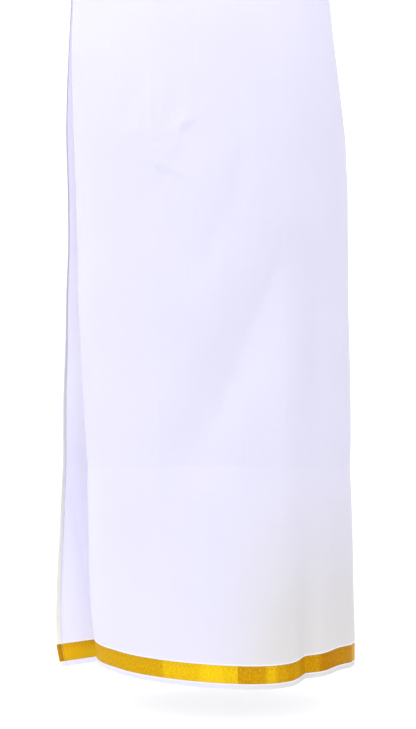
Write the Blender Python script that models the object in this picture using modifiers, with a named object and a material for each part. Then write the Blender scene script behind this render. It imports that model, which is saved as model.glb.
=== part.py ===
"""Dhoti cloth: one long cotton rectangle wound round the waist, with a woven gold border at its hem.

Metres, +Z up. The origin is the middle of the waist. The middle of the wearer's back is towards -Y,
the wearer's right hand towards +X. "Turn" is the angle round the body in degrees: 0 at the middle of
the back, 90 at the right hip, 180 at the front, 270 at the left hip. The winding runs from the inner
end, at a negative turn, to the free end. "Drop" is the height below the waist line.
"""
import math
from collections import namedtuple

import bmesh
import bpy
from mathutils import Vector

# Cloth
WALL = 0.0015
SEAM_GAP = 0.0003
LAYER_PITCH = 0.004
BAND_HEIGHT = 0.0225
SELVAGE_HEIGHT = 0.007
BORDER_HEIGHT = BAND_HEIGHT + SELVAGE_HEIGHT
END_HEM_WIDTH = 0.008
END_HEM_THICKNESS = 0.001

# Winding, as turns in degrees
INNER_END = -250.0
BACK_FROM = -100.0
FRONT_FROM = 100.0
FREE_FROM = 217.0
FREE_END = 269.0

# Heights, as drops below the waist line
WALL_TOP = -0.018
HEM_DROP = 0.965

# Waist roll: the cloth's top, turned over outwards and rolled down flat. It is thicker at the front,
# where both ends of the cloth are rolled together.
ROLL_HEIGHT = 0.044
ROLL_THICKNESS = 0.010
ROLL_FRONT_EXTRA = 0.003
ROLL_LAP = 44.0
ROLL_GAP = 0.0006

# Spacing of the points. A degree of turn is this wide at the hips, on average.
COLUMN_STEP = 5.0
CLOTH_ROWS = 20
ROW_GRADING = 1.25
ROLL_COLUMNS = 64
ROLL_SIDES = 10
DEGREE_WIDTH = 0.00264

# Horizontal sections of the worn cloth, from the waist down. Shift is sideways, and opening says how
# far the free end stands off: 0 where it hugs the layer under it, 1 where it runs out straight.
Section = namedtuple("Section", "drop half_width half_depth shift opening")
SECTIONS = (
    Section(-0.030, 0.1490, 0.1070, 0.0000, 0.00),
    Section(0.000, 0.1500, 0.1080, 0.0000, 0.00),
    Section(0.080, 0.1590, 0.1145, 0.0005, 0.00),
    Section(0.160, 0.1655, 0.1215, 0.0025, 0.02),
    Section(0.235, 0.1697, 0.1265, 0.0078, 0.12),
    Section(0.285, 0.1718, 0.1278, 0.0112, 0.17),
    Section(0.350, 0.1724, 0.1278, 0.0137, 0.19),
    Section(0.410, 0.1722, 0.1275, 0.0150, 0.22),
    Section(0.485, 0.1723, 0.1265, 0.0160, 0.31),
    Section(0.540, 0.1718, 0.1260, 0.0180, 0.41),
    Section(0.615, 0.1712, 0.1260, 0.0210, 0.56),
    Section(0.770, 0.1706, 0.1255, 0.0250, 0.81),
    Section(0.875, 0.1700, 0.1250, 0.0280, 1.03),
    Section(0.930, 0.1682, 0.1250, 0.0310, 1.17),
    Section(0.980, 0.1650, 0.1250, 0.0340, 1.12),
)

# Height of the hem above the lowest point of the back, round the winding
HemPoint = namedtuple("HemPoint", "turn rise")
HEM_LINE = (
    HemPoint(-250.0, 0.006),
    HemPoint(-180.0, 0.008),
    HemPoint(-120.0, 0.010),
    HemPoint(-60.0, 0.010),
    HemPoint(-43.0, 0.0075),
    HemPoint(-30.0, 0.006),
    HemPoint(-14.0, 0.0035),
    HemPoint(0.0, 0.0015),
    HemPoint(12.0, 0.000),
    HemPoint(29.0, 0.001),
    HemPoint(40.0, 0.007),
    HemPoint(60.0, 0.0112),
    HemPoint(78.0, 0.0080),
    HemPoint(100.0, 0.0020),
    HemPoint(140.0, 0.0025),
    HemPoint(180.0, 0.0015),
    HemPoint(217.0, -0.002),
    HemPoint(269.0, -0.0080),
)

# Soft folds, each from its upper to its lower end. Height is outwards, and a trough's is negative.
# A fold that ends below the hem is at its deepest there.
Fold = namedtuple("Fold", "place turn_top drop_top turn_low drop_low half_width height")
FOLDS = (
    Fold("hem trough, back right", 37.6, 0.78, 40.4, 1.24, 0.013, -0.0085),
    Fold("hem swell beside it", 49.0, 0.72, 51.0, 1.30, 0.020, 0.003),
    Fold("pull across the back, trough", 37.0, 0.38, -21.0, 0.74, 0.035, -0.0080),
    Fold("pull across the back, ridge", 34.0, 0.40, 27.0, 0.90, 0.026, 0.0050),
    Fold("side fall, right, trough", 82.0, 0.30, 84.0, 1.50, 0.022, -0.0022),
    Fold("side fall, right, ridge", 110.0, 0.24, 118.0, 1.50, 0.018, 0.004),
    Fold("front fall, right, trough", 128.0, 0.20, 124.0, 1.60, 0.020, -0.005),
    Fold("front fall, middle, ridge", 146.0, 0.12, 150.0, 1.60, 0.020, 0.009),
    Fold("front fall, middle, trough", 164.0, 0.18, 168.0, 1.60, 0.019, -0.006),
    Fold("front fall, left, ridge", 182.0, 0.12, 187.0, 1.60, 0.020, 0.008),
)


def clear_scene():
    for old in list(bpy.data.objects):
        bpy.data.objects.remove(old, do_unlink=True)


def smooth_table(rows, key, value):
    """Read a table at a value of its first column, on a smooth curve through its rows."""
    place = [getattr(row, key) for row in rows]
    value = min(max(value, place[0]), place[-1])
    low = max(i for i in range(len(rows) - 1) if place[i] <= value)
    before = max(low - 1, 0)
    after = min(low + 2, len(rows) - 1)
    span = place[low + 1] - place[low]
    part = (value - place[low]) / span
    blended = []
    for column in range(len(rows[0])):
        start = rows[low][column]
        end = rows[low + 1][column]
        slope_start = (end - rows[before][column]) / (place[low + 1] - place[before]) * span
        slope_end = (rows[after][column] - start) / (place[after] - place[low]) * span
        blended.append(
            (2 * part**3 - 3 * part**2 + 1) * start
            + (part**3 - 2 * part**2 + part) * slope_start
            + (3 * part**2 - 2 * part**3) * end
            + (part**3 - part**2) * slope_end
        )
    return type(rows[0])(*blended)


def fold_height(turn, drop):
    """How far the folds move the cloth outwards. Layers over each other share their folds."""
    total = 0.0
    for fold in FOLDS:
        along = (drop - fold.drop_top) / (fold.drop_low - fold.drop_top)
        if not 0.0 < along < 1.0:
            continue
        centre = fold.turn_top + along * (fold.turn_low - fold.turn_top)
        aside = ((turn - centre + 180.0) % 360.0 - 180.0) * DEGREE_WIDTH
        total += fold.height * math.sin(math.pi * along) * math.exp(-((aside / fold.half_width) ** 2))
    return total


def body_point(turn, drop, out):
    """A point of the worn form, moved outwards in its horizontal section."""
    section = smooth_table(SECTIONS, "drop", drop)
    angle = math.radians(turn)
    outward = Vector((math.sin(angle) / section.half_width, -math.cos(angle) / section.half_depth))
    outward.normalize()
    out += fold_height(turn, drop)
    x = section.shift + section.half_width * math.sin(angle) + out * outward.x
    y = -section.half_depth * math.cos(angle) + out * outward.y
    return Vector((x, y, -drop))


def hugging_point(turn, drop):
    """The middle of the wall where the cloth lies on the body or on the layer under it."""
    return body_point(turn, drop, LAYER_PITCH * turn / 360.0)


def cloth_point(turn, drop):
    """The middle of the wall. The free end runs out from the body towards a straight line."""
    hugging = hugging_point(turn, drop)
    if turn <= FREE_FROM:
        return hugging
    start = hugging_point(FREE_FROM, drop)
    heading = (start - hugging_point(FREE_FROM - 1.0, drop)).normalized()
    length = 0.0
    here = start
    steps = 6
    for step in range(1, steps + 1):
        there = hugging_point(FREE_FROM + (turn - FREE_FROM) * step / steps, drop)
        length += (there - here).length
        here = there
    straight = start + heading * length
    return hugging.lerp(straight, smooth_table(SECTIONS, "drop", drop).opening)


def raised_point(turn, drop, out):
    """A point on or beside the wall, moved out square to it."""
    nudge_turn = 0.5
    nudge_drop = 0.002
    along = cloth_point(turn + nudge_turn, drop) - cloth_point(turn - nudge_turn, drop)
    down = cloth_point(turn, drop + nudge_drop) - cloth_point(turn, drop - nudge_drop)
    return cloth_point(turn, drop) + down.cross(along).normalized() * out


def hem_drop(turn):
    return HEM_DROP - smooth_table(HEM_LINE, "turn", turn).rise


def fabric(name, colour, roughness, metallic):
    material = bpy.data.materials.new(name)
    material.use_nodes = True
    shader = material.node_tree.nodes["Principled BSDF"]
    shader.inputs["Base Color"].default_value = (*colour, 1.0)
    shader.inputs["Roughness"].default_value = roughness
    shader.inputs["Metallic"].default_value = metallic
    return material


def loft(name, rows, materials, row_material=None, closed=False):
    """A surface through rows of points, from the top down. A closed one joins up both ways."""
    mesh = bpy.data.meshes.new(name)
    work = bmesh.new()
    grid = [[work.verts.new(point) for point in row] for row in rows]
    row_count = len(grid) if closed else len(grid) - 1
    column_count = len(grid[0]) if closed else len(grid[0]) - 1
    for r in range(row_count):
        upper = grid[r]
        lower = grid[(r + 1) % len(grid)]
        for c in range(column_count):
            side = (c + 1) % len(upper)
            face = work.faces.new((upper[c], lower[c], lower[side], upper[side]))
            face.material_index = row_material[r] if row_material else 0
            face.smooth = True
    if closed:
        bmesh.ops.recalc_face_normals(work, faces=work.faces)
    work.to_mesh(mesh)
    work.free()
    for material in materials:
        mesh.materials.append(material)
    piece = bpy.data.objects.new(name, mesh)
    DHOTI.objects.link(piece)
    return piece


def thicken(piece, thickness):
    wall = piece.modifiers.new("wall", "SOLIDIFY")
    wall.thickness = thickness
    wall.offset = 0.0
    wall.use_even_offset = True


def columns(start, end):
    """Turns across one stretch, half a seam gap in from its ends, with one at an end hem's inner edge."""
    inset = 0.5 * SEAM_GAP / DEGREE_WIDTH
    hem = END_HEM_WIDTH / DEGREE_WIDTH
    count = max(2, round((end - start) / COLUMN_STEP))
    turns = [start + inset + (end - start - 2.0 * inset) * i / count for i in range(count + 1)]
    if start == INNER_END:
        turns.insert(1, start + hem)
    if end == FREE_END:
        turns.insert(-1, end - hem)
    return turns


def cloth_drops(turn):
    """Heights of the plain cloth's rows, closer together at the waist."""
    border_top = hem_drop(turn) - BORDER_HEIGHT
    parts = [(level / CLOTH_ROWS) ** ROW_GRADING for level in range(CLOTH_ROWS + 1)]
    return [WALL_TOP + part * (border_top - WALL_TOP) for part in parts]


def border_drops(turn):
    """Heights of the gold band's top, of its lower edge and of the selvage's edge."""
    return [hem_drop(turn) - height for height in (BORDER_HEIGHT - SEAM_GAP, SELVAGE_HEIGHT, 0.0)]


def surface_rows(turns, drops, out=0.0):
    """Rows of points down the cloth, from a function that gives each column's heights."""
    strips = [[raised_point(turn, drop, out) for drop in drops(turn)] for turn in turns]
    return list(zip(*strips))


def make_stretch(name, start, end):
    """One stretch of the cloth, with the woven border along its hem."""
    turns = columns(start, end)
    thicken(loft(name + "_cloth", surface_rows(turns, cloth_drops), [COTTON]), WALL)
    border = loft(name + "_border", surface_rows(turns, border_drops), [ZARI, COTTON], row_material=(0, 1))
    thicken(border, WALL)


def make_end_hem(name, turns):
    """The turned hem down an end of the cloth, on the side that faces the body."""
    out = -(WALL / 2 + SEAM_GAP + END_HEM_THICKNESS / 2)
    rows = surface_rows(turns, lambda turn: cloth_drops(turn) + border_drops(turn)[1:], out)
    thicken(loft(name, rows, [COTTON]), END_HEM_THICKNESS)


def roll_clearance(turn):
    """Where the outermost layer lies under the roll. The free end's edge is passed in a long slope."""
    first = FREE_END - 360.0
    lap = min(max((turn - first) / ROLL_LAP, 0.0), 1.0)
    ease = 1.0 - lap * lap * (3.0 - 2.0 * lap)
    return LAYER_PITCH * (turn / 360.0 + ease)


def make_waist_roll():
    """The rolled top of the cloth: a flat oval ring round the outside of the waist."""
    first = FREE_END - 360.0
    rows = []
    for i in range(ROLL_COLUMNS):
        turn = first + 360.0 * i / ROLL_COLUMNS
        thickness = ROLL_THICKNESS + ROLL_FRONT_EXTRA * (1.0 - math.cos(math.radians(turn))) / 2
        middle = roll_clearance(turn) + WALL / 2 + ROLL_GAP + thickness / 2
        ring = []
        for side in range(ROLL_SIDES):
            angle = 2.0 * math.pi * side / ROLL_SIDES
            out = middle + thickness / 2 * math.cos(angle)
            ring.append(body_point(turn, ROLL_HEIGHT / 2 * math.sin(angle), out))
        rows.append(ring)
    loft("waist_roll", rows, [COTTON], closed=True)


clear_scene()
DHOTI = bpy.data.collections.new("dhoti")
bpy.context.scene.collection.children.link(DHOTI)
COTTON = fabric("white cotton", (0.86, 0.85, 0.93), 0.85, 0.0)
ZARI = fabric("gold zari", (0.70, 0.42, 0.03), 0.45, 0.5)

make_stretch("inner_end", INNER_END, BACK_FROM)
make_stretch("back", BACK_FROM, FRONT_FROM)
make_stretch("front", FRONT_FROM, FREE_FROM)
make_stretch("free_end", FREE_FROM, FREE_END)
make_end_hem("inner_end_hem", columns(INNER_END, BACK_FROM)[:2])
make_end_hem("free_end_hem", columns(FREE_FROM, FREE_END)[-2:])
make_waist_roll()
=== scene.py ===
"""Looks of the dhoti cloth: plain woven cotton, a gold border at its hem, turned end hems and a waist roll.

Metres, +Z up, in the part's own frame: the origin is the middle of the waist, the middle of the back is
towards -Y and the wearer's right hand towards +X. "Turn" is the angle round the body in degrees, 0 at
the middle of the back and 90 at the right hip. "Drop" is the height below the waist line. "Yarn" names
a yarn that runs up the cloth, by its turn at the hem.
"""
import math
import random
from collections import namedtuple

import bpy
import numpy as np
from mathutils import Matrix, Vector


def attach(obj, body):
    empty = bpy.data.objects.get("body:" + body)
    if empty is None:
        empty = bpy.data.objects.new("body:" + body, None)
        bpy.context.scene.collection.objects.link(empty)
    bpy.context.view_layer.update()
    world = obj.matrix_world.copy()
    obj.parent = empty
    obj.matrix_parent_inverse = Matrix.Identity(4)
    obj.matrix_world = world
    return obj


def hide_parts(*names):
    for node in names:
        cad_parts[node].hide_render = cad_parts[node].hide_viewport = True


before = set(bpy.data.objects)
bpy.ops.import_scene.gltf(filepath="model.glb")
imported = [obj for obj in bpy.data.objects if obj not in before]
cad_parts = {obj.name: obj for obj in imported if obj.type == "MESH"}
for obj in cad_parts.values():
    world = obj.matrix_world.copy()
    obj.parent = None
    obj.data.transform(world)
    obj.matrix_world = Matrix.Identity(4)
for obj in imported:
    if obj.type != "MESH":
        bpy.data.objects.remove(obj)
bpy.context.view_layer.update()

# The worn form, as the part's solids have it
LAYER_PITCH = 0.004
BAND_HEIGHT = 0.0225
SELVAGE_HEIGHT = 0.007
BORDER_HEIGHT = BAND_HEIGHT + SELVAGE_HEIGHT
INNER_END = -250.0
BACK_FROM = -100.0
FRONT_FROM = 100.0
FREE_FROM = 217.0
FREE_END = 269.0
WALL_TOP = -0.018
HEM_DROP = 0.965
DEGREE_WIDTH = 0.00264
ROLL_THICKNESS = 0.010
ROLL_FRONT_EXTRA = 0.003
ROLL_LAP = 44.0

Section = namedtuple("Section", "drop half_width half_depth shift opening")
SECTIONS = (
    Section(-0.030, 0.1490, 0.1070, 0.0000, 0.00),
    Section(0.000, 0.1500, 0.1080, 0.0000, 0.00),
    Section(0.080, 0.1590, 0.1145, 0.0005, 0.00),
    Section(0.160, 0.1655, 0.1215, 0.0025, 0.02),
    Section(0.235, 0.1697, 0.1265, 0.0078, 0.12),
    Section(0.285, 0.1718, 0.1278, 0.0112, 0.17),
    Section(0.350, 0.1724, 0.1278, 0.0137, 0.19),
    Section(0.410, 0.1722, 0.1275, 0.0150, 0.22),
    Section(0.485, 0.1723, 0.1265, 0.0160, 0.31),
    Section(0.540, 0.1718, 0.1260, 0.0180, 0.41),
    Section(0.615, 0.1712, 0.1260, 0.0210, 0.56),
    Section(0.770, 0.1706, 0.1255, 0.0250, 0.81),
    Section(0.875, 0.1700, 0.1250, 0.0280, 1.03),
    Section(0.930, 0.1682, 0.1250, 0.0310, 1.17),
    Section(0.980, 0.1650, 0.1250, 0.0340, 1.12),
)

HemPoint = namedtuple("HemPoint", "turn rise")
HEM_LINE = (
    HemPoint(-250.0, 0.006),
    HemPoint(-180.0, 0.008),
    HemPoint(-120.0, 0.010),
    HemPoint(-60.0, 0.010),
    HemPoint(-43.0, 0.0075),
    HemPoint(-30.0, 0.006),
    HemPoint(-14.0, 0.0035),
    HemPoint(0.0, 0.0015),
    HemPoint(12.0, 0.000),
    HemPoint(29.0, 0.001),
    HemPoint(40.0, 0.007),
    HemPoint(60.0, 0.0112),
    HemPoint(78.0, 0.0080),
    HemPoint(100.0, 0.0020),
    HemPoint(140.0, 0.0025),
    HemPoint(180.0, 0.0015),
    HemPoint(217.0, -0.002),
    HemPoint(269.0, -0.0080),
)

# Large folds, as in the solids. Height is outwards, and a trough's is negative.
Fold = namedtuple("Fold", "place turn_top drop_top turn_low drop_low half_width height")
FOLDS = (
    Fold("hem trough, back right", 37.6, 0.78, 40.4, 1.24, 0.013, -0.0085),
    Fold("hem swell beside it", 49.0, 0.72, 51.0, 1.30, 0.020, 0.003),
    Fold("pull across the back, trough", 37.0, 0.38, -21.0, 0.74, 0.035, -0.0080),
    Fold("pull across the back, ridge", 34.0, 0.40, 27.0, 0.90, 0.026, 0.0050),
    Fold("side fall, right, trough", 82.0, 0.30, 84.0, 1.50, 0.022, -0.0022),
    Fold("side fall, right, ridge", 110.0, 0.24, 118.0, 1.50, 0.018, 0.004),
    Fold("front fall, right, trough", 128.0, 0.20, 124.0, 1.60, 0.020, -0.005),
    Fold("front fall, middle, ridge", 146.0, 0.12, 150.0, 1.60, 0.020, 0.009),
    Fold("front fall, middle, trough", 164.0, 0.18, 168.0, 1.60, 0.019, -0.006),
    Fold("front fall, left, ridge", 182.0, 0.12, 187.0, 1.60, 0.020, 0.008),
)

# Fine folds and small wrinkles, which only the looks have
FINE_FOLDS = (
    Fold("seat, light streak", -34.0, 0.295, 0.0, 0.329, 0.0045, 0.0014),
    Fold("seat, streak's shadow", -31.0, 0.309, -3.0, 0.338, 0.0050, -0.0006),
    Fold("seat, upright streak", -17.5, 0.322, -20.5, 0.386, 0.0050, 0.0018),
    Fold("seat, short pull, left", -12.5, 0.218, -18.5, 0.272, 0.0050, -0.0022),
    Fold("seat, short pull, beside", -6.0, 0.232, -16.0, 0.290, 0.0045, 0.0020),
    Fold("seat, short pull, right", -2.0, 0.251, -16.0, 0.283, 0.0042, -0.0012),
    Fold("seat, low pull", -3.0, 0.248, -20.0, 0.272, 0.0045, 0.0017),
    Fold("seat, thin upright", -24.2, 0.180, -24.0, 0.290, 0.0035, 0.0016),
    Fold("seat, left pull", -15.5, 0.278, -29.0, 0.283, 0.0048, -0.0016),
    Fold("seat, left ridge", -26.0, 0.255, -42.0, 0.285, 0.0060, 0.0014),
    Fold("seat, short ridge, far right", 4.0, 0.224, -5.0, 0.252, 0.0050, 0.0016),
    Fold("seat, small hollow, top left", -31.0, 0.205, -37.0, 0.262, 0.0075, -0.0014),
    Fold("seat, short ridge, low", -9.0, 0.262, -17.0, 0.300, 0.0050, 0.0015),
    Fold("seat, hollow under the pulls", -14.5, 0.294, -23.5, 0.350, 0.0085, -0.0019),
    Fold("seat, middle hollow", 17.0, 0.270, 7.0, 0.385, 0.0120, -0.0026),
    Fold("seat, low hollow", 5.0, 0.360, -6.0, 0.460, 0.0120, -0.0020),
    Fold("seat, middle swell", 4.0, 0.200, -3.0, 0.330, 0.0130, 0.0008),
    Fold("pull across the back, sharp line", 31.0, 0.420, -13.0, 0.705, 0.0080, -0.0013),
    Fold("pull across the back, upper end", 33.0, 0.410, 20.0, 0.480, 0.0060, -0.0010),
    Fold("hem corner, back right", 38.6, 0.870, 39.8, 1.090, 0.0045, -0.0016),
    Fold("right hip, hollow", 52.0, 0.420, 45.0, 0.740, 0.0220, -0.0026),
    Fold("right thigh, hollow", 62.0, 0.540, 50.0, 0.760, 0.0240, -0.0016),
    Fold("right hem, hollow", 60.0, 0.800, 56.0, 1.060, 0.0220, -0.0022),
    Fold("right hem, swell", 22.0, 0.780, 16.0, 1.080, 0.0200, 0.0012),
    Fold("left thigh, streak", -62.0, 0.300, -56.0, 0.460, 0.0060, 0.0005),
    Fold("left thigh, low streak", -60.0, 0.420, -66.0, 0.640, 0.0080, -0.0007),
    Fold("right side, pull", 70.0, 0.230, 92.0, 0.330, 0.0070, -0.0009),
    Fold("right side, pull beside", 66.0, 0.262, 90.0, 0.370, 0.0065, 0.0008),
    Fold("right side, long fall", 76.0, 0.420, 74.0, 1.100, 0.0090, 0.0012),
    Fold("front, pull from the hip", 112.0, 0.130, 148.0, 0.250, 0.0080, -0.0011),
    Fold("front, pull beside", 108.0, 0.165, 150.0, 0.300, 0.0070, 0.0010),
    Fold("front, thigh pull", 118.0, 0.330, 156.0, 0.420, 0.0080, -0.0009),
    Fold("front, middle fall", 155.0, 0.080, 157.0, 0.700, 0.0060, 0.0010),
    Fold("front, fall beside", 174.0, 0.070, 176.0, 0.560, 0.0055, -0.0010),
    Fold("front, left pull", 196.0, 0.090, 168.0, 0.240, 0.0070, 0.0010),
    Fold("front, left low pull", 206.0, 0.200, 178.0, 0.360, 0.0075, -0.0009),
    Fold("front, left fall", 204.0, 0.300, 207.0, 1.200, 0.0100, 0.0016),
    Fold("free end, long wave", 236.0, 0.260, 240.0, 1.200, 0.0120, -0.0016),
    Fold("free end, upper pull", 262.0, 0.100, 228.0, 0.240, 0.0075, 0.0009),
    Fold("free end, low pull", 262.0, 0.700, 240.0, 0.960, 0.0110, 0.0010),
)

# Creases that were pressed in when the cloth lay folded, still standing a little. Spread is how far the
# cloth beside a crease still leans.
Crease = namedtuple("Crease", "yarn height spread")
CREASES = (
    Crease(-226.0, 0.0005, 0.016),
    Crease(-206.0, -0.0005, 0.015),
    Crease(-186.0, 0.0006, 0.017),
    Crease(-166.0, -0.0004, 0.014),
    Crease(-147.0, 0.0005, 0.016),
    Crease(-128.0, -0.0005, 0.015),
    Crease(-109.0, 0.0005, 0.016),
    Crease(-90.0, -0.0004, 0.014),
    Crease(-70.0, 0.0004, 0.016),
    Crease(-49.5, 0.0005, 0.014),
    Crease(-27.8, 0.0010, 0.014),
    Crease(-10.5, -0.0005, 0.012),
    Crease(5.0, -0.0006, 0.014),
    Crease(23.6, 0.0012, 0.022),
    Crease(43.0, -0.0005, 0.015),
    Crease(62.0, 0.0006, 0.016),
    Crease(81.0, -0.0004, 0.014),
    Crease(100.0, 0.0006, 0.016),
    Crease(119.0, -0.0006, 0.015),
    Crease(138.0, 0.0005, 0.016),
    Crease(157.0, -0.0005, 0.014),
    Crease(176.0, 0.0006, 0.016),
    Crease(195.0, -0.0006, 0.015),
    Crease(214.0, 0.0006, 0.016),
    Crease(233.0, -0.0004, 0.014),
    Crease(251.0, 0.0004, 0.014),
)

# Creases across the cloth. Each runs level in a plane that dips towards the front.
CrossCrease = namedtuple("CrossCrease", "drop_back drop_front height spread")
CROSS_CREASES = (
    CrossCrease(0.375, 0.381, 0.0003, 0.018),
    CrossCrease(0.683, 0.719, -0.0022, 0.038),
)

# How far the yarns lean sideways as they rise from the hem, in degrees a metre
Lean = namedtuple("Lean", "yarn lean")
YARN_LEAN = (
    Lean(-250.0, 0.0),
    Lean(-110.0, 0.0),
    Lean(-75.0, 6.0),
    Lean(-50.0, 10.0),
    Lean(-28.0, 7.5),
    Lean(-10.0, 9.5),
    Lean(5.0, 12.0),
    Lean(24.0, 15.0),
    Lean(45.0, 13.0),
    Lean(75.0, 6.0),
    Lean(110.0, 0.0),
    Lean(269.0, 0.0),
)

# The sheet
CLOTH = 0.0009
Spacing = namedtuple("Spacing", "start end degrees")
SPACINGS = (
    Spacing(INNER_END, BACK_FROM, 3.0),
    Spacing(BACK_FROM, FRONT_FROM, 1.0),
    Spacing(FRONT_FROM, FREE_FROM, 1.6),
    Spacing(FREE_FROM, FREE_END, 1.5),
)
# Turn between a crease's middle column and the ones beside it
CREASE_EDGE = 0.35
# Rows close up below this drop, so that they can carry the small wrinkles over the seat
SEAT_TOP = 0.185
ROW_COUNTS = (9, 46, 33, 22)
ROW_EDGE = 0.005
BAND_ROWS = 6
SELVAGE_ROWS = 2
# Steps along and down the cloth from which the direction square to it is worked out
NUDGE_TURN = 0.5
NUDGE_DROP = 0.002
FREE_END_STEPS = 6
SHARP_WALL_ANGLE = 50.0
SHARP_HEM_ANGLE = 70.0
WAVE_COUNT = 22
WAVE_SEED = 7
WAVE_SIZE = 0.0016


def smooth_table(rows, values):
    """Read a table at values of its first column, on a smooth curve through its rows."""
    table = np.array(rows)
    place = table[:, 0]
    values = np.clip(values, place[0], place[-1])
    low = np.clip(np.searchsorted(place, values, side="right") - 1, 0, len(rows) - 2)
    before = np.maximum(low - 1, 0)
    after = np.minimum(low + 2, len(rows) - 1)
    span = place[low + 1] - place[low]
    part = (values - place[low]) / span
    blended = []
    for column in table.T:
        start = column[low]
        end = column[low + 1]
        slope_start = (end - column[before]) / (place[low + 1] - place[before]) * span
        slope_end = (column[after] - start) / (place[after] - place[low]) * span
        blended.append(
            (2 * part**3 - 3 * part**2 + 1) * start
            + (part**3 - 2 * part**2 + part) * slope_start
            + (3 * part**2 - 2 * part**3) * end
            + (part**3 - part**2) * slope_end
        )
    return type(rows[0])(*blended)


def fold_height(folds, turn, drop):
    """How far folds move the cloth outwards. Layers over each other share their folds."""
    total = np.zeros(np.broadcast(turn, drop).shape)
    for fold in folds:
        along = (drop - fold.drop_top) / (fold.drop_low - fold.drop_top)
        centre = fold.turn_top + along * (fold.turn_low - fold.turn_top)
        aside = ((turn - centre + 180.0) % 360.0 - 180.0) * DEGREE_WIDTH
        height = fold.height * np.sin(np.pi * np.clip(along, 0.0, 1.0))
        total = total + height * np.exp(-((aside / fold.half_width) ** 2))
    return total


def level_fold_height(folds, turn, drop):
    """The same for a fold that runs more round the body than down it, measured square to its line."""
    total = np.zeros(np.broadcast(turn, drop).shape)
    for fold in folds:
        run = (fold.turn_low - fold.turn_top) * DEGREE_WIDTH
        fall = fold.drop_low - fold.drop_top
        length = math.hypot(run, fall)
        right = ((turn - fold.turn_top + 180.0) % 360.0 - 180.0) * DEGREE_WIDTH
        down = drop - fold.drop_top
        along = (right * run + down * fall) / length**2
        aside = (right * fall - down * run) / length
        height = fold.height * np.sin(np.pi * np.clip(along, 0.0, 1.0))
        total = total + height * np.exp(-((aside / fold.half_width) ** 2))
    return total


def body_point(turn, drop, out):
    """A point of the worn form, moved outwards in its horizontal section."""
    section = smooth_table(SECTIONS, drop)
    angle = np.radians(turn)
    right = np.sin(angle) / section.half_width
    front = -np.cos(angle) / section.half_depth
    length = np.hypot(right, front)
    x = section.shift + section.half_width * np.sin(angle) + out * right / length
    y = -section.half_depth * np.cos(angle) + out * front / length
    return np.stack(np.broadcast_arrays(x, y, -drop), axis=-1)


def hugging_point(turn, drop):
    """The middle of the cloth where it lies on the body or on the layer under it."""
    return body_point(turn, drop, LAYER_PITCH * turn / 360.0 + fold_height(FOLDS, turn, drop))


def unit(vectors):
    return vectors / np.linalg.norm(vectors, axis=-1, keepdims=True)


def cloth_point(turn, drop):
    """The middle of the cloth. The free end runs out from the body towards a straight line."""
    hugging = hugging_point(turn, drop)
    beyond = np.maximum(turn - FREE_FROM, 0.0)
    start = hugging_point(FREE_FROM, drop)
    heading = unit(start - hugging_point(FREE_FROM - 1.0, drop))
    length = 0.0
    here = start
    for step in range(1, FREE_END_STEPS + 1):
        there = hugging_point(FREE_FROM + beyond * step / FREE_END_STEPS, drop)
        length = length + np.linalg.norm(there - here, axis=-1)
        here = there
    straight = start + heading * length[..., None]
    opening = np.where(beyond > 0.0, smooth_table(SECTIONS, drop).opening, 0.0)
    return hugging + (straight - hugging) * opening[..., None]


def make_waves():
    """Slow waves all over the cloth, as (cycles round the body, phase, waves a metre, phase, height)."""
    draw = random.Random(WAVE_SEED)
    waves = []
    for _ in range(WAVE_COUNT):
        cycles = draw.randint(3, 15)
        rate = draw.uniform(2.0, 9.0)
        height = WAVE_SIZE / (cycles + 1.5 * rate) * draw.uniform(0.5, 1.3)
        waves.append((cycles, draw.uniform(0.0, math.tau), rate, draw.uniform(0.0, math.tau), height))
    return waves


WAVES = make_waves()


def cross_drop(crease, turn):
    dip = (1.0 - np.cos(np.radians(turn))) / 2.0
    return crease.drop_back + (crease.drop_front - crease.drop_back) * dip


def relief(yarn, turn, drop):
    """Fine folds, pressed creases and slow waves: how far they stand out square to the cloth."""
    total = level_fold_height(FINE_FOLDS, turn, drop)
    for crease in CREASES:
        total = total + crease.height * np.exp(-np.abs(yarn - crease.yarn) * DEGREE_WIDTH / crease.spread)
    for crease in CROSS_CREASES:
        total = total + crease.height * np.exp(-np.abs(drop - cross_drop(crease, turn)) / crease.spread)
    for cycles, phase_round, rate, phase_down, height in WAVES:
        total = total + height * np.sin(cycles * np.radians(turn) + phase_round) * np.sin(
            math.tau * rate * drop + phase_down
        )
    return total


def turn_at(yarn, drop):
    return yarn + smooth_table(YARN_LEAN, yarn).lean * (HEM_DROP - drop)


def square_out(turn, drop):
    """The direction square to the cloth, outwards."""
    along = cloth_point(turn + NUDGE_TURN, drop) - cloth_point(turn - NUDGE_TURN, drop)
    down = cloth_point(turn, drop + NUDGE_DROP) - cloth_point(turn, drop - NUDGE_DROP)
    return unit(np.cross(down, along))


def woven_point(yarn, drop, out=0.0):
    """A point on the finished cloth's middle, or moved out from it."""
    turn = turn_at(yarn, drop)
    height = relief(yarn, turn, drop) + out
    return cloth_point(turn, drop) + square_out(turn, drop) * height[..., None]


def hem_drop(yarn):
    return HEM_DROP - smooth_table(HEM_LINE, yarn).rise


def yarn_columns():
    """Yarns that get a column of points: evenly spaced in each stretch, with three at each crease."""
    regular = []
    for spacing in SPACINGS:
        count = round((spacing.end - spacing.start) / spacing.degrees)
        regular += [spacing.start + (spacing.end - spacing.start) * i / count for i in range(count)]
    regular.append(FREE_END)
    marks = [c.yarn + side * CREASE_EDGE for c in CREASES for side in (-1, 0, 1)]
    kept = [y for y in regular if min(abs(y - m) for m in marks) > CREASE_EDGE or y in (INNER_END, FREE_END)]
    return np.array(sorted(kept + marks))


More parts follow.
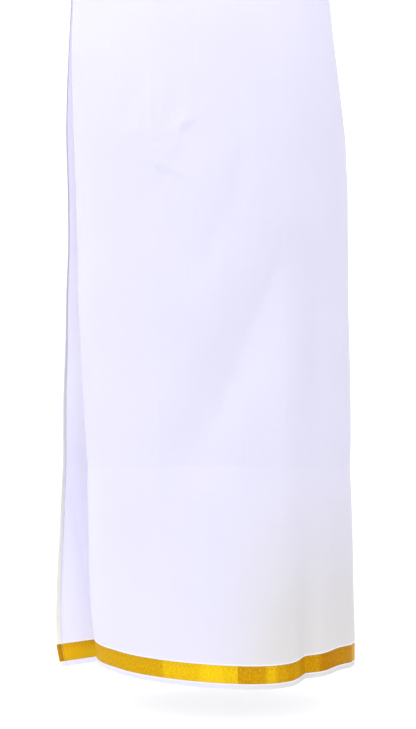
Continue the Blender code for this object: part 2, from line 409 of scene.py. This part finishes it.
def cloth_rows(yarns):
    """Drops of the plain cloth's rows, which follow the cross creases and close up beside them."""
    guides = [np.full_like(yarns, WALL_TOP), np.full_like(yarns, SEAT_TOP)]
    guides += [cross_drop(crease, yarns) for crease in CROSS_CREASES]
    guides.append(hem_drop(yarns) - BORDER_HEIGHT)
    rows = []
    for above, below, count in zip(guides, guides[1:], ROW_COUNTS):
        parts = [i / count for i in range(count)]
        parts[1:1] = [ROW_EDGE]
        parts.append(1.0 - ROW_EDGE)
        rows += [above + (below - above) * part for part in parts]
    rows.append(guides[-1])
    return np.array(rows)


def border_rows(yarns):
    """Drops of the woven border's rows: the gold band, then the selvage."""
    heights = [BORDER_HEIGHT - BAND_HEIGHT * i / BAND_ROWS for i in range(BAND_ROWS)]
    heights += [SELVAGE_HEIGHT * (1.0 - i / SELVAGE_ROWS) for i in range(SELVAGE_ROWS + 1)]
    return np.array([hem_drop(yarns) - height for height in heights])


def yarn_map(yarns, drops):
    """Place on the flat cloth, in metres: along its length, and up from the hem."""
    along = np.broadcast_to(yarns * DEGREE_WIDTH, drops.shape)
    return np.stack((along, hem_drop(yarns) - drops), axis=-1)


def grid_piece(name, points, flat, materials, row_materials=None, ring=False, capped=False):
    """A surface through a grid of points, rows from the top down, with its place on the flat cloth."""
    row_count, column_count = points.shape[:2]
    faces = []
    slots = []
    for r in range(row_count - 1):
        for c in range(column_count if ring else column_count - 1):
            side = (c + 1) % column_count
            low = (r + 1) * column_count
            faces.append((r * column_count + c, low + c, low + side, r * column_count + side))
            slots.append(row_materials[r] if row_materials else 0)
    if capped:
        faces.append(tuple(range(column_count)))
        faces.append(tuple(reversed(range((row_count - 1) * column_count, row_count * column_count))))
        slots += [slots[0], slots[-1]]
    mesh = bpy.data.meshes.new(name)
    mesh.from_pydata(points.reshape(-1, 3).tolist(), [], faces)
    for material in materials:
        mesh.materials.append(material)
    mesh.polygons.foreach_set("material_index", slots)
    mesh.polygons.foreach_set("use_smooth", [True] * len(faces))
    places = flat.reshape(-1, 2)
    uv_layer = mesh.uv_layers.new(name="yarns")
    corners = np.zeros(len(mesh.loops), int)
    mesh.loops.foreach_get("vertex_index", corners)
    uv_layer.data.foreach_set("uv", places[corners].ravel())
    piece = bpy.data.objects.new(name, mesh)
    bpy.context.scene.collection.objects.link(piece)
    return piece


def apply_modifiers(piece):
    bpy.ops.object.select_all(action="DESELECT")
    piece.select_set(True)
    bpy.context.view_layer.objects.active = piece
    for modifier in list(piece.modifiers):
        bpy.ops.object.modifier_apply(modifier=modifier.name)
    piece.data.set_sharp_from_angle(angle=math.radians(SHARP_WALL_ANGLE))


def thicken(piece, thickness):
    wall = piece.modifiers.new("wall", "SOLIDIFY")
    wall.thickness = thickness
    wall.offset = 0.0
    wall.use_even_offset = True
    apply_modifiers(piece)


class Value:
    """One output of a shader node. Arithmetic on it adds the Math nodes that work it out."""

    def __init__(self, tree, socket):
        self.tree = tree
        self.socket = socket

    def node(self, kind, settings, inputs, output=0):
        return add_node(self.tree, kind, settings, inputs, output)

    def maths(self, operation, *terms):
        return self.node("ShaderNodeMath", {"operation": operation}, dict(enumerate(terms)))

    def __add__(self, other):
        return self.maths("ADD", self, other)

    __radd__ = __add__

    def __sub__(self, other):
        return self.maths("SUBTRACT", self, other)

    def __rsub__(self, other):
        return self.maths("SUBTRACT", other, self)

    def __mul__(self, other):
        return self.maths("MULTIPLY", self, other)

    __rmul__ = __mul__

    def __abs__(self):
        return self.maths("ABSOLUTE", self)

    def wave(self, length):
        """A sine wave of that length."""
        return self.maths("SINE", self * (math.tau / length))

    def zigzag(self, length):
        """Up and down in straight lines, from 0 to half the length."""
        return self.maths("PINGPONG", self, length / 2)

    def rise(self, start, end):
        """0 before start, 1 after end, with a soft step between; the other way round if end is less."""
        settings = {"interpolation_type": "SMOOTHSTEP", "clamp": True}
        return self.node("ShaderNodeMapRange", settings, {"Value": self, "From Min": start, "From Max": end})

    def line(self, centre, half_width, soft):
        """1 on a line of that half width, 0 away from it."""
        return abs(self - centre).rise(half_width + soft, half_width)


def add_node(tree, kind, settings, inputs, output=0):
    """Any shader node: its settings first, then numbers or links for its sockets."""
    node = tree.nodes.new(kind)
    for name, setting in settings.items():
        setattr(node, name, setting)
    for key, value in inputs.items():
        if isinstance(value, Value):
            tree.links.new(value.socket, node.inputs[key])
        else:
            node.inputs[key].default_value = value
    return Value(tree, node.outputs[output])


class Finish:
    """A material and its shader, with the flat cloth's two directions to draw on."""

    def __init__(self, name, roughness, metallic=0.0, sheen=0.0):
        self.material = bpy.data.materials.new(name)
        self.material.use_nodes = True
        self.tree = self.material.node_tree
        self.shader = self.tree.nodes["Principled BSDF"]
        self.shader.inputs["Roughness"].default_value = roughness
        self.shader.inputs["Metallic"].default_value = metallic
        self.shader.inputs["Sheen Weight"].default_value = sheen
        self.shader.inputs["Sheen Roughness"].default_value = 0.5
        place = self.add("ShaderNodeUVMap", {"uv_map": "yarns"}, {})
        self.along = self.add("ShaderNodeSeparateXYZ", {}, {0: place}, "X")
        self.up = self.add("ShaderNodeSeparateXYZ", {}, {0: place}, "Y")

    def add(self, kind, settings, inputs, output=0):
        return add_node(self.tree, kind, settings, inputs, output)

    def noise(self, along_rate, up_rate, detail=2.0):
        """Soft noise with so many specks a metre each way, about 0.5 on average."""
        place = self.add("ShaderNodeCombineXYZ", {}, {0: self.along * along_rate, 1: self.up * up_rate})
        return self.add("ShaderNodeTexNoise", {}, {"Vector": place, "Scale": 1.0, "Detail": detail})

    def mix(self, share, low, high):
        """A colour that goes from low to high as share goes from 0 to 1."""
        inputs = {"Factor": share}
        for key, colour in ((6, low), (7, high)):
            inputs[key] = colour if isinstance(colour, Value) else (*colour, 1.0)
        return self.add("ShaderNodeMix", {"data_type": "RGBA"}, inputs, 2)

    def colour(self, value):
        self.tree.links.new(value.socket, self.shader.inputs["Base Color"])

    def roughness(self, value):
        self.tree.links.new(value.socket, self.shader.inputs["Roughness"])

    def let_light_through(self, share, colour):
        """Part of the light that falls on one side of the thin cloth comes out of the other."""
        glow = self.add("ShaderNodeBsdfTranslucent", {}, {"Color": (*colour, 1.0)})
        front = Value(self.tree, self.shader.outputs["BSDF"])
        both = self.add("ShaderNodeMixShader", {}, {0: share, 1: front, 2: glow})
        self.tree.links.new(both.socket, self.tree.nodes["Material Output"].inputs["Surface"])

    def relief(self, height, depth):
        """Raise the surface by height times depth, in metres."""
        bump = self.add("ShaderNodeBump", {}, {"Strength": 1.0, "Distance": depth, "Height": height})
        self.tree.links.new(bump.socket, self.shader.inputs["Normal"])


# Colours, as linear light
COTTON_LOW = (0.752, 0.745, 0.825)
COTTON_HIGH = (0.792, 0.785, 0.868)
COTTON_WARM_SHADE = (0.700, 0.694, 0.630)
COTTON_PAINTED_SHADE = (0.64, 0.66, 0.80)
HIGHLIGHT_WHITE = (0.93, 0.93, 0.95)
HEM_PAINTED_LIGHT = (0.82, 0.81, 0.87)
BEIGE_TINT = (0.79, 0.765, 0.53)
GOLD_DARK = (0.335, 0.132, 0.0008)
GOLD_LIGHT = (0.79, 0.560, 0.010)
GOLD_REVERSE = (0.76, 0.42, 0.010)
GOLD_LINE = (0.13, 0.055, 0.003)

# How much of the light that falls on the cloth goes on through it
SHEER = 0.55
SHEER_SINGLE = 0.71
SHEER_IN_PAINTED_SHADE = 0.61
SHEER_HEM = 0.12

# The stripe of painted shade in the free end: its yarn at the hem, and how many degrees it shifts a metre up
SHADE_STRIPE_YARN = 251.1
SHADE_STRIPE_SLANT = 9.2
YARN_PITCH = 0.00042
SLUB_LENGTH_RATE = 22.0
SLUB_WIDTH_RATE = 780.0
WEAVE_DEPTH = 0.00008
HIGHLIGHT_WIDTH = 0.0009

# Soft edges of what varies on the flat cloth, in metres along it or up it: nothing at the first number,
# and all of it from the second on
WARM_SHADE_LEFT = (-0.020, 0.080)
WARM_SHADE_RIGHT = (0.330, 0.205)
WARM_SHADE_TOP = (0.30, 0.02)
HEM_WARMTH_TOP = (0.16, 0.03)
SINGLE_SIDE = (0.575, 0.680)
SINGLE_FOOT = (0.22, 0.42)
PAINTED_SHADE_SIDE = (0.640, 0.700)
PAINTED_SHADE_TOP = (0.44, 0.12)
FREE_END_SIDE = (0.574, 0.580)
SHADE_STRIPE_FOOT = (0.18, 0.42)
REVERSE_SIDE = (0.562, 0.566)
REVERSE_HEM = (0.7035, 0.7040)


def cotton_weave(finish):
    """Plain weave with thick and thin yarns: its height, and how its tone varies."""
    weave = finish.along.wave(2 * YARN_PITCH) * finish.up.wave(2 * YARN_PITCH)
    slubs = finish.noise(SLUB_LENGTH_RATE, SLUB_WIDTH_RATE) + finish.noise(SLUB_WIDTH_RATE, SLUB_LENGTH_RATE)
    patches = finish.noise(9.0, 7.0, 3.0)
    height = weave * 0.25 + slubs
    tone = (slubs - 1.0) * 0.9 + (patches - 0.5) * 1.2 + 0.5
    return height, tone


def make_cotton():
    finish = Finish("woven_cotton", roughness=0.88, sheen=0.12)
    height, tone = cotton_weave(finish)
    colour = finish.mix(tone.rise(0.0, 1.0), COTTON_LOW, COTTON_HIGH)

    # Painted shade over the lower right of the back, warmed by a painted reflection of the gold band and
    # strongest near it. All along the hem the cloth is a little warmer too
    painted_warm_shade = finish.along.rise(*WARM_SHADE_LEFT) * finish.along.rise(*WARM_SHADE_RIGHT) * finish.up.rise(*WARM_SHADE_TOP)
    worn = finish.up.rise(*HEM_WARMTH_TOP) * 0.12
    colour = finish.mix(painted_warm_shade + worn, colour, COTTON_WARM_SHADE)

    # Painted highlight lines, whiter than the cloth, on both sides of the gold band
    highlight_above_band = finish.up.line(BORDER_HEIGHT + HIGHLIGHT_WIDTH, HIGHLIGHT_WIDTH, 0.0004)
    highlight_below_band = finish.up.line(SELVAGE_HEIGHT - 0.0008, 0.0008, 0.0004)
    colour = finish.mix(highlight_above_band + highlight_below_band, colour, HIGHLIGHT_WHITE)

    # The free end is one thin layer. Towards its lower corner it is painted in shade, darker and bluer
    single = finish.along.rise(*SINGLE_SIDE) * finish.up.rise(*SINGLE_FOOT)
    painted_shade = finish.along.rise(*PAINTED_SHADE_SIDE) * finish.up.rise(*PAINTED_SHADE_TOP)
    colour = finish.mix(painted_shade * 0.35, colour, COTTON_PAINTED_SHADE)
    sheer = SHEER + single * (SHEER_SINGLE - SHEER) - painted_shade * (SHEER - SHEER_IN_PAINTED_SHADE)

    # Each end's hem is three layers thick, so less light goes through it, and its colour is painted lighter
    # to make up for that shade. A beige line of painted shade runs along it 2.9 mm in from the edge
    for inside in (FREE_END * DEGREE_WIDTH - finish.along, finish.along - INNER_END * DEGREE_WIDTH):
        hem = inside.rise(0.0090, 0.0084)
        colour = finish.mix(hem, colour, HEM_PAINTED_LIGHT)
        sheer = sheer - hem * (sheer - SHEER_HEM)
        colour = finish.mix(inside.line(0.0029, 0.0010, 0.0006) * 0.85, colour, BEIGE_TINT)

    # A faint beige line above the free end's band
    above_line = finish.up.line(BORDER_HEIGHT + 0.0036, 0.0006, 0.0008)
    faint = finish.along.rise(*FREE_END_SIDE) * 0.40
    colour = finish.mix(above_line * faint, colour, BEIGE_TINT)

    # A slanting beige stripe of painted shade, warm-tinted, in the upper part of the free end, in the gap
    # between it and the back's left side
    shade_stripe = (finish.up * SHADE_STRIPE_SLANT + SHADE_STRIPE_YARN) * DEGREE_WIDTH
    faded = finish.up.rise(*SHADE_STRIPE_FOOT) * 0.9
    colour = finish.mix((finish.along - shade_stripe).line(0.0, 0.0018, 0.0018) * faded, colour, BEIGE_TINT)

    finish.colour(colour)
    finish.relief(height, WEAVE_DEPTH)
    finish.let_light_through(sheer, COTTON_HIGH)
    return finish.material


# Painted light and shade: how bright each stretch of the gold band is made between the pressed creases, for
# how it faces the light. Soft is the width of the step.
BandPaintedLight = namedtuple("BandPaintedLight", "yarn tone soft")
BAND_PAINTED_LIGHT = (
    BandPaintedLight(-250.0, 0.29, 0.0005),
    BandPaintedLight(-206.0, 0.44, 0.0005),
    BandPaintedLight(-166.0, 0.26, 0.0005),
    BandPaintedLight(-128.0, 0.40, 0.0005),
    BandPaintedLight(-90.0, 0.32, 0.0005),
    BandPaintedLight(-49.5, 0.325, 0.0005),
    BandPaintedLight(-27.8, 0.535, 0.0012),
    BandPaintedLight(-11.0, 0.69, 0.0100),
    BandPaintedLight(-1.5, 0.58, 0.0080),
    BandPaintedLight(5.0, 0.21, 0.0012),
    BandPaintedLight(17.5, 0.48, 0.0070),
    BandPaintedLight(22.0, 0.26, 0.0070),
    BandPaintedLight(27.0, 0.17, 0.0060),
    BandPaintedLight(31.5, 0.24, 0.0060),
    BandPaintedLight(36.0, 0.20, 0.0030),
    BandPaintedLight(39.0, 0.17, 0.0010),
    BandPaintedLight(45.0, 0.04, 0.0060),
    BandPaintedLight(57.0, 0.09, 0.0060),
    BandPaintedLight(81.0, 0.24, 0.0005),
    BandPaintedLight(100.0, 0.44, 0.0005),
    BandPaintedLight(138.0, 0.26, 0.0005),
    BandPaintedLight(157.0, 0.54, 0.0005),
    BandPaintedLight(176.0, 0.30, 0.0005),
    BandPaintedLight(195.0, 0.48, 0.0005),
    BandPaintedLight(214.0, 0.53, 0.0005),
    BandPaintedLight(266.6, 0.06, 0.0004),
)

# Figures of the gold band, in metres
THREAD_PITCH = 0.00062
RIB_PITCH = 0.0021
CHEVRON_WIDTH = 0.0044
CHEVRON_PITCH = 0.0034
ZIGZAG_LENGTH = 0.0055
ZIGZAG_STEEPNESS = 1.6
PLAIN_EDGE = 0.0060
THREAD_DEPTH = 0.00006


def make_zari():
    finish = Finish("gold_zari", roughness=0.45, metallic=0.55)
    finish.shader.inputs["Specular IOR Level"].default_value = 0.1
    finish.shader.inputs["Specular Tint"].default_value = (1.0, 0.82, 0.45, 1.0)
    # The pressed panels' painted light and shade
    painted_panels = BAND_PAINTED_LIGHT[0].tone
    for before, after in zip(BAND_PAINTED_LIGHT, BAND_PAINTED_LIGHT[1:]):
        place = after.yarn * DEGREE_WIDTH
        step = finish.along.rise(place - after.soft / 2, place + after.soft / 2)
        painted_panels = step * (after.tone - before.tone) + painted_panels
    from_top = BORDER_HEIGHT - finish.up
    from_foot = finish.up - SELVAGE_HEIGHT
    zigzag = finish.along.zigzag(ZIGZAG_LENGTH) * ZIGZAG_STEEPNESS
    top_figure = abs(from_top - 0.0012 - zigzag).rise(0.0011, 0.0005)
    low_figure = abs(from_foot - 0.0010 - zigzag).rise(0.0010, 0.0005)
    chevrons = (finish.up + finish.along.zigzag(CHEVRON_WIDTH)).wave(CHEVRON_PITCH)
    threads = finish.along.wave(THREAD_PITCH)
    ribs = finish.along.wave(RIB_PITCH)
    body = from_foot.line(BAND_HEIGHT / 2, BAND_HEIGHT / 2 - PLAIN_EDGE, 0.0006)
    mottled = finish.noise(430.0, 260.0)
    tone = painted_panels + chevrons * body * 0.05 + ribs * 0.02 + threads * 0.03 + (mottled - 0.5) * 0.55
    gold = finish.mix(tone, GOLD_DARK, GOLD_LIGHT)
    # The free end and its hem show the reverse of the band, which is more orange
    reverse = finish.along.rise(*REVERSE_SIDE) * 0.60 - finish.along.rise(*REVERSE_HEM) * 0.40
    gold = finish.mix(reverse, gold, GOLD_REVERSE)
    figured = finish.mix(top_figure * 0.20 + low_figure * 0.10, gold, GOLD_LINE)
    edges = from_top.line(0.0003, 0.0002, 0.0003) + from_foot.line(0.0002, 0.0002, 0.0002)
    finish.colour(finish.mix(edges * 0.40, figured, GOLD_LINE))
    finish.roughness(0.46 - tone * 0.08)
    raised = threads * 0.4 + ribs * 0.3 + chevrons * body * 0.5
    finish.relief(raised - top_figure - low_figure, THREAD_DEPTH)
    return finish.material


COTTON = make_cotton()
ZARI = make_zari()


def make_cloth(yarns):
    """The whole winding, from the inner end round the back and front to the free end."""
    drops = cloth_rows(yarns)
    piece = grid_piece("dhoti_cloth", woven_point(yarns, drops), yarn_map(yarns, drops), [COTTON])
    thicken(piece, CLOTH)
    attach(piece, "root")
    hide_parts("inner_end_cloth", "back_cloth", "front_cloth", "free_end_cloth")
    return piece


def make_border(yarns):
    """The woven border along the whole hem: gold band over a plain selvage."""
    drops = border_rows(yarns)
    rows = [0] * BAND_ROWS + [1] * SELVAGE_ROWS
    points = woven_point(yarns, drops)
    piece = grid_piece("woven_border", points, yarn_map(yarns, drops), [ZARI, COTTON], rows)
    thicken(piece, CLOTH)
    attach(piece, "root")
    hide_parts("inner_end_border", "back_border", "front_border", "free_end_border")
    return piece


# Section of a turned end hem. "In" is the distance from the cloth's edge, and "out" is square to the
# cloth, less than 0 on the side towards the body.
HemSection = namedtuple("HemSection", "inwards out")
HEM_SECTION = (
    HemSection(0.0005, 0.0006),
    HemSection(-0.0004, 0.0004),
    HemSection(-0.0008, -0.0002),
    HemSection(-0.0008, -0.0008),
    HemSection(-0.0003, -0.0012),
    HemSection(0.0006, -0.0013),
    HemSection(0.0034, -0.00125),
    HemSection(0.0058, -0.0011),
    HemSection(0.0066, -0.00095),
    HemSection(0.0074, -0.0008),
    HemSection(0.0082, -0.00062),
    HemSection(0.0088, -0.0005),
    HemSection(0.0084, -0.0002),
    HemSection(0.0005, -0.0002),
)
STITCH_INWARDS = 0.0066
STITCH_STEP = 0.0034
STITCH_LENGTH = 0.0024
STITCH_HALF_WIDTH = 0.00022
STITCH_TOP = 0.030
STITCH_DEPTH = -0.00095
STITCH_SECTION = ((-1.0, 0.0), (-0.7, 0.8), (0.7, 0.8), (1.0, 0.0))
STITCH_TAPER = (0.35, 1.0, 0.35)


def make_end_hem(name, edge, inwards, node):
    """The cloth turned over to the body's side at one end. Inwards is +1 or -1 in turn."""
    yarn = np.array([edge + inwards * place.inwards / DEGREE_WIDTH for place in HEM_SECTION])
    out = np.array([place.out for place in HEM_SECTION])
    cloth = cloth_rows(yarn)
    drops = np.concatenate((cloth[:-1], border_rows(yarn)))
    points = woven_point(yarn, drops, out)
    flat = yarn_map(yarn, drops)
    if inwards < 0:
        points = points[:, ::-1]
        flat = flat[:, ::-1]
    rows = [0] * (len(cloth) - 1) + [1] * BAND_ROWS + [0] * SELVAGE_ROWS
    piece = grid_piece(name, points, flat, [COTTON, ZARI], rows, ring=True, capped=True)
    piece.data.set_sharp_from_angle(angle=math.radians(SHARP_HEM_ANGLE))
    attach(piece, "root")
    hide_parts(node)
    return piece


def make_stitches(name, edge, inwards):
    """A row of running stitches along a turned hem, on both sides of the cloth."""
    yarn = edge + inwards * STITCH_INWARDS / DEGREE_WIDTH
    bottom = float(hem_drop(np.array(yarn))) - STITCH_STEP
    count = int((bottom - STITCH_TOP) / STITCH_STEP)
    middles = STITCH_TOP + STITCH_STEP * (np.arange(count) + 0.5)
    drop = middles[:, None] + STITCH_LENGTH * np.array((-0.5, 0.0, 0.5))
    across, rise = np.array(STITCH_SECTION).T
    size = STITCH_HALF_WIDTH * np.array(STITCH_TAPER)[None, :, None, None]
    corners = len(STITCH_SECTION)
    vertices = []
    faces = []
    for face_out in (CLOTH / 2, STITCH_DEPTH):
        base = woven_point(np.full_like(drop, yarn), drop, face_out)
        up = square_out(np.full_like(drop, yarn), drop) * math.copysign(1.0, face_out)
        side = unit(np.cross(up, base[:, 2:3] - base[:, 0:1]))
        spread = side[:, :, None] * across[:, None] + up[:, :, None] * rise[:, None]
        vertices += (base[:, :, None] + size * spread).reshape(-1, 3).tolist()
    for first in range(0, len(vertices), 3 * corners):
        for ring in (first, first + corners):
            for k in range(corners):
                a, b = ring + k, ring + (k + 1) % corners
                faces.append((a, b, b + corners, a + corners))
        faces.append(tuple(first + k for k in reversed(range(corners))))
        faces.append(tuple(first + 2 * corners + k for k in range(corners)))
    mesh = bpy.data.meshes.new(name)
    mesh.from_pydata(vertices, [], faces)
    mesh.materials.append(COTTON)
    mesh.uv_layers.new(name="yarns")
    mesh.polygons.foreach_set("use_smooth", [True] * len(faces))
    piece = bpy.data.objects.new(name, mesh)
    bpy.context.scene.collection.objects.link(piece)
    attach(piece, "root")
    return piece


# Section of the waist roll, as the rolled cloth's line from the inside over the top and round inwards.
# Out is from the outermost layer, for a roll of the thickness at the back. Lip is how much of it moves
# in with the layers that it covers.
RollSection = namedtuple("RollSection", "out height lip")
ROLL_SECTION = (
    RollSection(-0.0011, 0.0040, 1.0),
    RollSection(-0.0011, 0.0120, 1.0),
    RollSection(-0.0007, 0.0186, 1.0),
    RollSection(0.0012, 0.0212, 0.7),
    RollSection(0.0052, 0.0219, 0.3),
    RollSection(0.0092, 0.0200, 0.0),
    RollSection(0.0108, 0.0150, 0.0),
    RollSection(0.0112, 0.0050, 0.0),
    RollSection(0.0112, -0.0080, 0.0),
    RollSection(0.0106, -0.0165, 0.0),
    RollSection(0.0085, -0.0205, 0.0),
    RollSection(0.0052, -0.0212, 0.0),
    RollSection(0.0026, -0.0180, 0.0),
    RollSection(0.0021, -0.0080, 0.0),
    RollSection(0.0022, 0.0060, 0.0),
    RollSection(0.0030, 0.0140, 0.0),
    RollSection(0.0052, 0.0172, 0.0),
    RollSection(0.0078, 0.0155, 0.0),
    RollSection(0.0086, 0.0080, 0.0),
    RollSection(0.0086, -0.0060, 0.0),
    RollSection(0.0076, -0.0130, 0.0),
    RollSection(0.0058, -0.0140, 0.0),
    RollSection(0.0047, -0.0090, 0.0),
    RollSection(0.0047, 0.0060, 0.0),
    RollSection(0.0050, 0.0110, 0.0),
)
# Small pulls in the roll, slanting as they go down. Slant is in degrees of turn from top to bottom.
RollPull = namedtuple("RollPull", "turn slant half_width height")
ROLL_PULLS = (
    RollPull(-78.0, 16.0, 2.2, 0.0007),
    RollPull(-60.0, 12.0, 1.6, -0.0006),
    RollPull(-41.0, 18.0, 2.4, 0.0006),
    RollPull(-19.0, 10.0, 1.8, -0.0006),
    RollPull(3.0, 15.0, 2.5, 0.0007),
    RollPull(17.0, 11.0, 1.5, -0.0005),
    RollPull(38.0, 17.0, 2.1, 0.0006),
    RollPull(55.0, 13.0, 2.6, -0.0007),
    RollPull(79.0, 9.0, 1.7, 0.0006),
    RollPull(97.0, 16.0, 2.3, -0.0006),
    RollPull(121.0, 20.0, 2.0, 0.0008),
    RollPull(136.0, 14.0, 1.6, -0.0007),
    RollPull(158.0, 22.0, 2.6, 0.0009),
    RollPull(171.0, 12.0, 1.7, -0.0008),
    RollPull(190.0, 18.0, 2.2, 0.0008),
    RollPull(211.0, 15.0, 2.0, -0.0006),
    RollPull(232.0, 11.0, 2.4, 0.0007),
    RollPull(254.0, 17.0, 1.8, -0.0006),
)
ROLL_COLUMNS = 300
ROLL_STEPS = 4
LIP_FROM = 104.0
LIP_RUN = 10.0
LAP_TURN = -30.0
LAP_SLANT = 900.0
LAP_HEIGHT = 0.0010
LAP_EDGE = 0.7
ROLL_HEIGHT = 0.044


def soft_step(values):
    part = np.clip(values, 0.0, 1.0)
    return part * part * (3.0 - 2.0 * part)


def roll_line():
    """The roll's section as a smooth line with a few steps between its named points."""
    table = np.array(ROLL_SECTION)
    count = len(ROLL_SECTION)
    line = []
    for i in range(count - 1):
        before, start, end, after = (table[min(max(k, 0), count - 1)] for k in (i - 1, i, i + 1, i + 2))
        for step in range(ROLL_STEPS):
            t = step / ROLL_STEPS
            line.append(
                0.5 * (2 * start + (end - before) * t + (2 * before - 5 * start + 4 * end - after) * t**2
                       + (3 * start - before - 3 * end + after) * t**3)
            )
    line.append(table[-1])
    return np.array(line)


def make_waist_roll():
    """The top of the cloth, turned over outwards and rolled down on itself."""
    line = roll_line()
    first = FREE_END - 360.0
    turn = first + 360.0 * np.arange(ROLL_COLUMNS) / ROLL_COLUMNS
    covered = 1.0 - soft_step((turn - first) / ROLL_LAP)
    outermost = LAYER_PITCH * (turn / 360.0 + covered)
    lip = -LAYER_PITCH * np.maximum(covered, soft_step((turn - LIP_FROM) / LIP_RUN))
    thickness = 1.0 + ROLL_FRONT_EXTRA / ROLL_THICKNESS * (1.0 - np.cos(np.radians(turn))) / 2
    round_body = np.radians(turn)
    sag = 1.0 + 0.045 * np.sin(3 * round_body + 0.8) + 0.03 * np.sin(7 * round_body + 2.1)
    height = line[:, 1:2] * sag
    out = outermost + line[:, 0:1] * thickness + line[:, 2:3] * lip
    outer_face = soft_step((line[:, 0:1] - 0.0085) / 0.0020)
    for pull in ROLL_PULLS:
        centre = pull.turn - pull.slant * height / ROLL_HEIGHT
        aside = (turn - centre + 180.0) % 360.0 - 180.0
        out = out + pull.height * outer_face * np.exp(-((aside / pull.half_width) ** 2))
    past_lap = (turn - (LAP_TURN + LAP_SLANT * height)) % 360.0
    lap = (1.0 - soft_step(past_lap / LAP_EDGE)) + past_lap / 360.0
    out = out + LAP_HEIGHT * outer_face * np.clip(lap, 0.0, 1.0)
    points = body_point(turn, -height, out)
    lengths = np.concatenate(([0.0], np.cumsum(np.linalg.norm(np.diff(line[:, :2], axis=0), axis=1))))
    flat = np.stack(np.broadcast_arrays(turn * DEGREE_WIDTH, 1.0 + lengths[:, None]), axis=-1)
    piece = grid_piece("waist_roll_cloth", points[::-1], flat[::-1], [COTTON], ring=True)
    thicken(piece, CLOTH)
    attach(piece, "root")
    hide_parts("waist_roll")
    return piece, float(lengths[-1])


# Studio
FLOOR_Z = -1.010
CAMERA_PLACE = (0.010, -3.600, -0.175)
CAMERA_PITCH = 6.2458
CAMERA_LENS = 139.718
CAMERA_SENSOR = 36.0
FLOOR_SIZE = 60.0
FLOOR_GREY = 0.28
FLOOR_GLOW = 0.70
KEY_PLACE = (-0.9, -2.4, 2.4)
KEY_AIM = (0.0, 0.0, -0.5)
KEY_SIZE = 1.0
KEY_POWER = 16.0
WHITE = (1.0, 1.0, 1.0)


def make_camera():
    camera = bpy.data.objects.new("camera", bpy.data.cameras.new("camera"))
    bpy.context.scene.collection.objects.link(camera)
    camera.location = CAMERA_PLACE
    camera.rotation_euler = (math.radians(90.0 - CAMERA_PITCH), 0.0, 0.0)
    camera.data.lens = CAMERA_LENS
    camera.data.sensor_width = CAMERA_SENSOR
    camera.data.clip_end = 60.0
    bpy.context.scene.camera = camera


def make_floor():
    """A large plain pale floor, at the height of the wearer's soles."""
    bpy.ops.object.select_all(action="DESELECT")
    bpy.ops.mesh.primitive_plane_add(size=FLOOR_SIZE, location=(0.0, 0.0, FLOOR_Z))
    floor = bpy.context.object
    floor.name = "floor"
    material = bpy.data.materials.new("pale_floor")
    material.use_nodes = True
    shader = material.node_tree.nodes["Principled BSDF"]
    shader.inputs["Base Color"].default_value = (FLOOR_GREY, FLOOR_GREY, FLOOR_GREY, 1.0)
    shader.inputs["Roughness"].default_value = 0.9
    shader.inputs["Emission Color"].default_value = (*WHITE, 1.0)
    shader.inputs["Emission Strength"].default_value = FLOOR_GLOW
    floor.data.materials.append(material)


def make_softbox(name, place, aim, size, power, colour):
    lamp = bpy.data.objects.new(name, bpy.data.lights.new(name, "AREA"))
    bpy.context.scene.collection.objects.link(lamp)
    lamp.data.shape = "SQUARE"
    lamp.data.size = size
    lamp.data.energy = power
    lamp.data.color = colour
    lamp.location = place
    direction = Vector(aim) - Vector(place)
    lamp.rotation_euler = direction.to_track_quat("-Z", "Y").to_euler()
    lamp.visible_camera = False


def make_world():
    """Soft white surroundings: lit walls all round, brightest on the left and behind."""
    world = bpy.data.worlds.new("studio")
    world.use_nodes = True
    tree = world.node_tree
    bpy.context.scene.world = world
    direction = add_node(tree, "ShaderNodeTexCoord", {}, {}, "Generated")
    x = add_node(tree, "ShaderNodeSeparateXYZ", {}, {0: direction}, "X")
    y = add_node(tree, "ShaderNodeSeparateXYZ", {}, {0: direction}, "Y")
    z = add_node(tree, "ShaderNodeSeparateXYZ", {}, {0: direction}, "Z")
    inputs = {"Factor": x.rise(-1.0, 1.0), 6: (1.0, 1.0, 1.02, 1.0), 7: (1.0, 0.99, 0.97, 1.0)}
    colour = add_node(tree, "ShaderNodeMix", {"data_type": "RGBA"}, inputs, 2)
    left_wall = x.rise(0.2, -1.0) * 2.10
    right_wall = x.rise(-0.2, 1.0) * 1.33
    front_wall = y.rise(0.0, -1.0) * 1.43
    back_wall = y.rise(0.0, 1.0) * 1.50
    ceiling = z.rise(0.15, 0.9) * 0.55
    strength = left_wall + right_wall + front_wall + back_wall + ceiling
    shader = tree.nodes["Background"]
    tree.links.new(colour.socket, shader.inputs["Color"])
    tree.links.new(strength.socket, shader.inputs["Strength"])


make_camera()
make_floor()
make_world()
make_softbox("key_softbox", KEY_PLACE, KEY_AIM, KEY_SIZE, KEY_POWER, WHITE)
bpy.context.scene.view_settings.view_transform = "Standard"

yarns = yarn_columns()
cloth = make_cloth(yarns)
border = make_border(yarns)
free_hem = make_end_hem("free_end_hem_fold", FREE_END, -1, "free_end_hem")
inner_hem = make_end_hem("inner_end_hem_fold", INNER_END, 1, "inner_end_hem")
free_stitches = make_stitches("free_end_stitches", FREE_END, -1)
inner_stitches = make_stitches("inner_end_stitches", INNER_END, 1)
roll, roll_depth = make_waist_roll()
